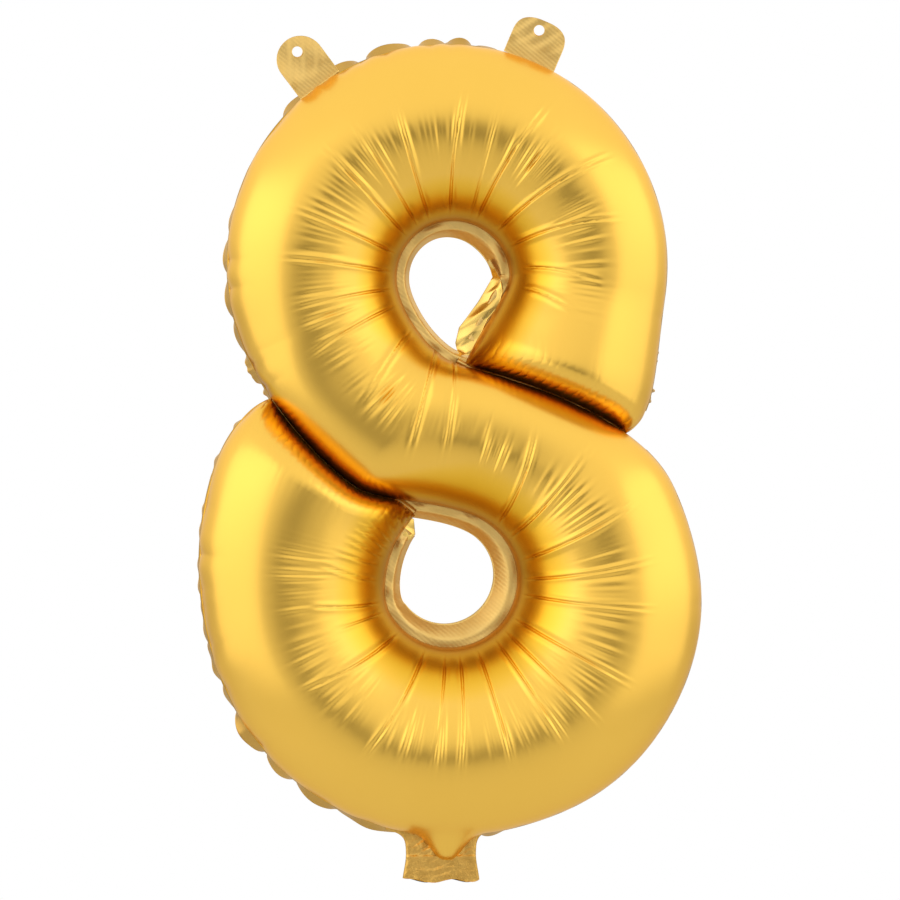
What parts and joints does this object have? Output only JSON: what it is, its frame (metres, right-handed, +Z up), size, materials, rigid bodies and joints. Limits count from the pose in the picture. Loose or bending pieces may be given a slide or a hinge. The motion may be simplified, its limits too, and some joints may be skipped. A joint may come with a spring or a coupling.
{
  "type": "foil number balloon",
  "caption": "Inflated foil number balloon in the shape of an eight, with hanging tabs, welded margins and a folding filling tail with a flap valve.",
  "frame": {"origin": "on the straight line through the middles of both hanging holes, above the middle of the body, in the plane of the welds", "axes": "+X to the viewer's right, +Y away from the viewer of the front, +Z up; the welds lie in the plane y = 0"},
  "size_m": [0.2184, 0.0748, 0.3764],
  "materials": {
    "gold_foil": "satin metallised gold film",
    "welded_foil": "dull tan-gold double film",
    "valve_film": "thin clear-white film"
  },
  "bodies": {
    "balloon": {"front_foil": "gold_foil", "back_foil": "gold_foil", "upper_outer_seam": "welded_foil", "lower_right_seam": "welded_foil", "lower_left_seam": "welded_foil", "upper_end_seam": "welded_foil", "lower_end_seam": "welded_foil", "upper_hole_seam": "welded_foil", "lower_hole_seam": "welded_foil", "filling_neck": "welded_foil"},
    "left_tab": {"left_hanging_tab": "welded_foil"},
    "right_tab": {"right_hanging_tab": "welded_foil"},
    "tail": {"tail_front_ply": "welded_foil", "tail_back_ply": "welded_foil"},
    "valve_front": {"valve_front_ply": "valve_film"},
    "valve_back": {"valve_back_ply": "valve_film"}
  },
  "joints": [
    {"name": "left_tab_bend", "type": "hinge", "parent": "balloon", "child": "left_tab", "pos_m": [-0.05836, 0, -0.01889], "axis": [0.7986, 0, 0.6018], "range_deg": [-80, 80], "stiffness_Nm_per_rad": 0.0003},
    {"name": "right_tab_bend", "type": "hinge", "parent": "balloon", "child": "right_tab", "pos_m": [0.03856, 0, -0.00691], "axis": [0.9212, 0, -0.3891], "range_deg": [-80, 80], "stiffness_Nm_per_rad": 0.0003},
    {"name": "tail_bend", "type": "hinge", "parent": "balloon", "child": "tail", "pos_m": [-0.0022, 0, -0.352], "axis": [1, 0, 0], "range_deg": [-80, 80], "stiffness_Nm_per_rad": 0.0003},
    {"name": "valve_front_open", "type": "hinge", "parent": "balloon", "child": "valve_front", "pos_m": [-0.0022, -0.0004, -0.3384], "axis": [1, 0, 0], "range_deg": [0, 4], "stiffness_Nm_per_rad": 0.0005},
    {"name": "valve_back_open", "type": "hinge", "parent": "balloon", "child": "valve_back", "pos_m": [-0.0022, 0.0004, -0.3384], "axis": [1, 0, 0], "range_deg": [-4, 0], "stiffness_Nm_per_rad": 0.0005}
  ],
  "couplings": [
    {"joint": "valve_back_open", "follows": "valve_front_open", "ratio": -1}
  ]
}
